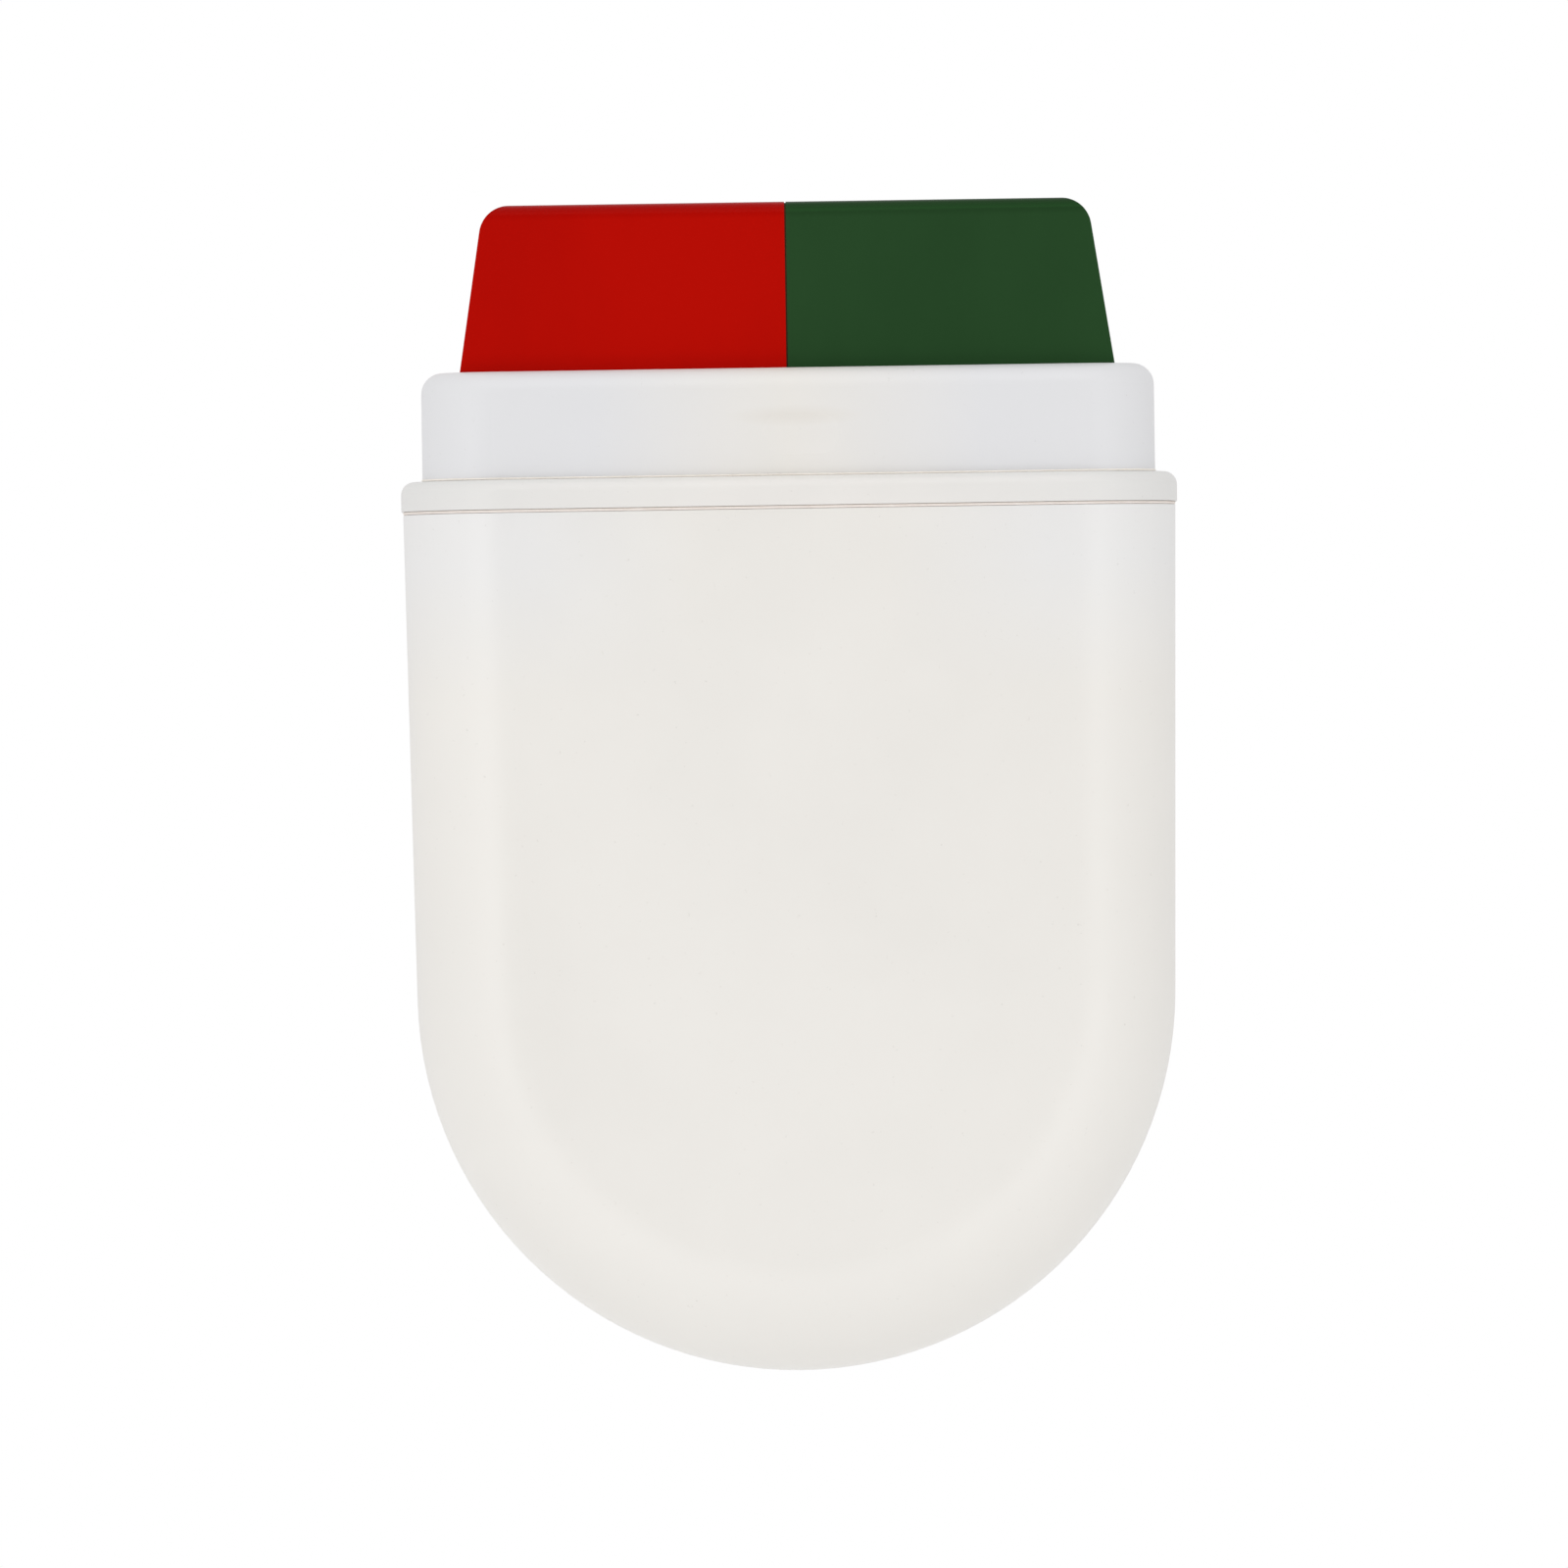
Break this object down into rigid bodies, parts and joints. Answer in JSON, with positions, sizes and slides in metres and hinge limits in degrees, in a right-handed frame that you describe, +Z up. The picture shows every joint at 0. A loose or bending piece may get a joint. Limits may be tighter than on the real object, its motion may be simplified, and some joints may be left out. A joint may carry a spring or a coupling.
{
  "type": "pedestrian traffic light",
  "caption": "Two-aspect pedestrian signal: off-white D-shaped housing with a raised rim and neck, and a red and green tapered lens head on top.",
  "frame": {"origin": "middle of the bracket's four-bolt pattern, on the flat face that meets the post", "axes": "+Z up, the signal's front faces -Y, +Y points into the post, +X to the right seen from the front"},
  "size_m": [0.2406, 0.1906, 0.3622],
  "materials": {
    "housing_plastic": "satin off-white moulding",
    "neck_plastic": "satin off-white moulding, slightly cooler",
    "red_lens": "deep red coloured polycarbonate, unlit",
    "green_lens": "deep green coloured polycarbonate, unlit",
    "tan_seal": "thin tan silicone seal",
    "seal_rubber": "dark grey EPDM",
    "cast_alloy": "powder-coated cast aluminium, light grey",
    "zinc_steel": "zinc-plated",
    "hinge_steel": "stainless, brushed",
    "lock_metal": "nickel-plated zinc",
    "dark_nylon": "moulded nylon",
    "sounder_black": "black",
    "chassis_steel": "galvanised sheet",
    "driver_alloy": "anodised extrusion",
    "heat_sink_alloy": "anodised extrusion",
    "circuit_board": "green solder mask",
    "component_black": "moulded component cases",
    "terminal_grey": "polyamide",
    "stud_brass": "turned",
    "wire_brown": "PVC insulation",
    "wire_red": "PVC insulation",
    "led_board_white": "white solder mask",
    "red_emitter": "clear red epoxy, unlit",
    "green_emitter": "clear green epoxy, unlit"
  },
  "bodies": {
    "bracket": {"wall_bracket": "cast_alloy", "swivel_bolt": "zinc_steel", "swivel_nut": "zinc_steel", "friction_washers": "dark_nylon"},
    "housing": {"swivel_lug": "cast_alloy", "lug_screws": "zinc_steel", "back_plate": "housing_plastic", "base_seal": "seal_rubber", "rim_collar": "housing_plastic", "collar_seal": "tan_seal", "collar_screws": "zinc_steel", "base_hinge_leaves": "hinge_steel", "hinge_screws": "zinc_steel", "cover_hinge_pins": "hinge_steel", "lock_keeper": "hinge_steel", "cable_gland": "dark_nylon", "gland_nut": "dark_nylon", "vent_plug": "dark_nylon", "sounder": "sounder_black", "standoffs": "zinc_steel", "chassis_plate": "chassis_steel", "chassis_screws": "zinc_steel", "led_driver": "driver_alloy", "control_board": "circuit_board", "board_spacers": "zinc_steel", "board_parts": "component_black", "din_rail": "chassis_steel", "terminal_block": "terminal_grey", "earth_stud": "stud_brass", "mains_wires": "wire_brown", "led_leads": "wire_red", "lead_grommet": "seal_rubber", "heat_sinks": "heat_sink_alloy", "red_led_board": "led_board_white", "green_led_board": "led_board_white", "red_leds": "red_emitter", "green_leds": "green_emitter", "head_hinge_pins": "hinge_steel"},
    "cover": {"front_cover": "housing_plastic", "cover_hinge_leaves": "hinge_steel"},
    "cover_lock": {"lock_barrel": "lock_metal", "lock_cam": "lock_metal", "cam_bolt": "zinc_steel"},
    "lamp_head": {"neck_shell": "neck_plastic", "head_gasket": "seal_rubber", "red_lens": "red_lens", "green_lens": "green_lens", "light_divider": "sounder_black", "lens_seal": "seal_rubber", "lens_clamp_frame": "chassis_steel", "lens_clamp_screws": "zinc_steel", "head_keeper": "hinge_steel"},
    "head_lock": {"head_lock_spindle": "hinge_steel", "head_lock_knob": "dark_nylon"}
  },
  "joints": [
    {"name": "aim_swivel", "type": "hinge", "parent": "bracket", "child": "housing", "pos_m": [0, -0.042, 0], "axis": [0, 0, 1], "range_deg": [-30, 30]},
    {"name": "cover_hinge", "type": "hinge", "parent": "housing", "child": "cover", "pos_m": [-0.1146, -0.076, 0.045], "axis": [0, 0, -1], "range_deg": [0, 105]},
    {"name": "cover_lock_turn", "type": "hinge", "parent": "cover", "child": "cover_lock", "pos_m": [0.11, -0.106, 0.04], "axis": [1, 0, 0], "range_deg": [0, 90]},
    {"name": "head_hinge", "type": "hinge", "parent": "housing", "child": "lamp_head", "pos_m": [0, -0.085, 0.131], "axis": [-1, 0, 0], "range_deg": [0, 70]},
    {"name": "head_lock_turn", "type": "hinge", "parent": "housing", "child": "head_lock", "pos_m": [0, -0.168, 0.12], "axis": [0, 0, 1], "range_deg": [0, 90]}
  ]
}
